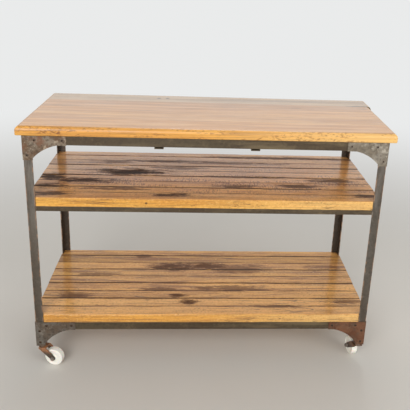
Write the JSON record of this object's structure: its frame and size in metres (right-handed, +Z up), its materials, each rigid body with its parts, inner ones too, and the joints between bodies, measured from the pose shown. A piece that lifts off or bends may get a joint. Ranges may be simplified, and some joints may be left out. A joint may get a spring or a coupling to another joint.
{
  "type": "kitchen trolley",
  "caption": "Rectangular kitchen trolley with a thick timber worktop over two slatted shelves on a riveted angle-iron frame with swivel casters.",
  "frame": {"origin": "on the floor, below the centre of the trolley's overall box", "axes": "+X along the worktop's length to the right as seen from the front, +Z up, the long front faces -Y"},
  "size_m": [1.2553, 0.4936, 0.9],
  "materials": {
    "worktop_timber": "varnished pine planks, satin, paler on top than on the nosing",
    "shelf_timber": "varnished reclaimed pine boards, glossy, knotty",
    "frame_steel": "raw angle iron with brown patina and light rust under lacquer",
    "bracket_steel": "raw sheet steel, grey with mottled rust",
    "fastener_steel": "worn steel fasteners",
    "caster_steel": "pressed steel, dark with rust",
    "wheel_nylon": "off-white moulded nylon"
  },
  "bodies": {
    "frame": {"post_front_left": "frame_steel", "post_front_right": "frame_steel", "post_rear_left": "frame_steel", "post_rear_right": "frame_steel", "top_rail_front": "frame_steel", "top_rail_rear": "frame_steel", "top_rail_left": "frame_steel", "top_rail_right": "frame_steel", "middle_rail_front": "frame_steel", "middle_rail_rear": "frame_steel", "middle_rail_left": "frame_steel", "middle_rail_right": "frame_steel", "lower_rail_front": "frame_steel", "lower_rail_rear": "frame_steel", "lower_rail_left": "frame_steel", "lower_rail_right": "frame_steel", "top_bearers": "frame_steel", "shelf_bearers": "frame_steel", "upper_corner_brackets": "bracket_steel", "lower_corner_brackets": "bracket_steel", "bracket_rivets": "fastener_steel", "deck_screws": "fastener_steel", "foot_plates": "caster_steel", "caster_stems": "fastener_steel", "middle_slat_1": "shelf_timber", "middle_slat_2": "shelf_timber", "middle_slat_3": "shelf_timber", "middle_slat_4": "shelf_timber", "middle_slat_5": "shelf_timber", "middle_slat_6": "shelf_timber", "middle_slat_7": "shelf_timber", "middle_slat_8": "shelf_timber", "middle_slat_9": "shelf_timber", "lower_slat_1": "shelf_timber", "lower_slat_2": "shelf_timber", "lower_slat_3": "shelf_timber", "lower_slat_4": "shelf_timber", "lower_slat_5": "shelf_timber", "lower_slat_6": "shelf_timber", "lower_slat_7": "shelf_timber", "lower_slat_8": "shelf_timber", "lower_slat_9": "shelf_timber", "top_plank_1": "worktop_timber", "top_plank_2": "worktop_timber", "top_plank_3": "worktop_timber", "top_plank_4": "worktop_timber", "top_plank_5": "worktop_timber"},
    "fork_front_left": {"caster_fork_front_left": "caster_steel", "caster_axle_front_left": "fastener_steel"},
    "wheel_front_left": {"caster_wheel_front_left": "wheel_nylon"},
    "fork_front_right": {"caster_fork_front_right": "caster_steel", "caster_axle_front_right": "fastener_steel"},
    "wheel_front_right": {"caster_wheel_front_right": "wheel_nylon"},
    "fork_rear_left": {"caster_fork_rear_left": "caster_steel", "caster_axle_rear_left": "fastener_steel"},
    "wheel_rear_left": {"caster_wheel_rear_left": "wheel_nylon"},
    "fork_rear_right": {"caster_fork_rear_right": "caster_steel", "caster_axle_rear_right": "fastener_steel"},
    "wheel_rear_right": {"caster_wheel_rear_right": "wheel_nylon"}
  },
  "joints": [
    {"name": "swivel_front_left", "type": "hinge", "parent": "frame", "child": "fork_front_left", "pos_m": [-0.58735, -0.2132, 0.0688], "axis": [0, 0, 1], "continuous": true},
    {"name": "roll_front_left", "type": "hinge", "parent": "fork_front_left", "child": "wheel_front_left", "pos_m": [-0.54502, -0.22407, 0.0325], "axis": [0.2487, 0.9686, 0], "continuous": true},
    {"name": "swivel_front_right", "type": "hinge", "parent": "frame", "child": "fork_front_right", "pos_m": [0.56685, -0.2132, 0.0688], "axis": [0, 0, 1], "continuous": true},
    {"name": "roll_front_right", "type": "hinge", "parent": "fork_front_right", "child": "wheel_front_right", "pos_m": [0.55889, -0.17023, 0.0325], "axis": [-0.9833, -0.1822, 0], "continuous": true},
    {"name": "swivel_rear_left", "type": "hinge", "parent": "frame", "child": "fork_rear_left", "pos_m": [-0.58735, 0.2132, 0.0688], "axis": [0, 0, 1], "continuous": true},
    {"name": "roll_rear_left", "type": "hinge", "parent": "fork_rear_left", "child": "wheel_rear_left", "pos_m": [-0.57939, 0.17023, 0.0325], "axis": [0.9833, 0.1822, 0], "continuous": true},
    {"name": "swivel_rear_right", "type": "hinge", "parent": "frame", "child": "fork_rear_right", "pos_m": [0.56685, 0.2132, 0.0688], "axis": [0, 0, 1], "continuous": true},
    {"name": "roll_rear_right", "type": "hinge", "parent": "fork_rear_right", "child": "wheel_rear_right", "pos_m": [0.52452, 0.22407, 0.0325], "axis": [-0.2487, -0.9686, 0], "continuous": true}
  ]
}
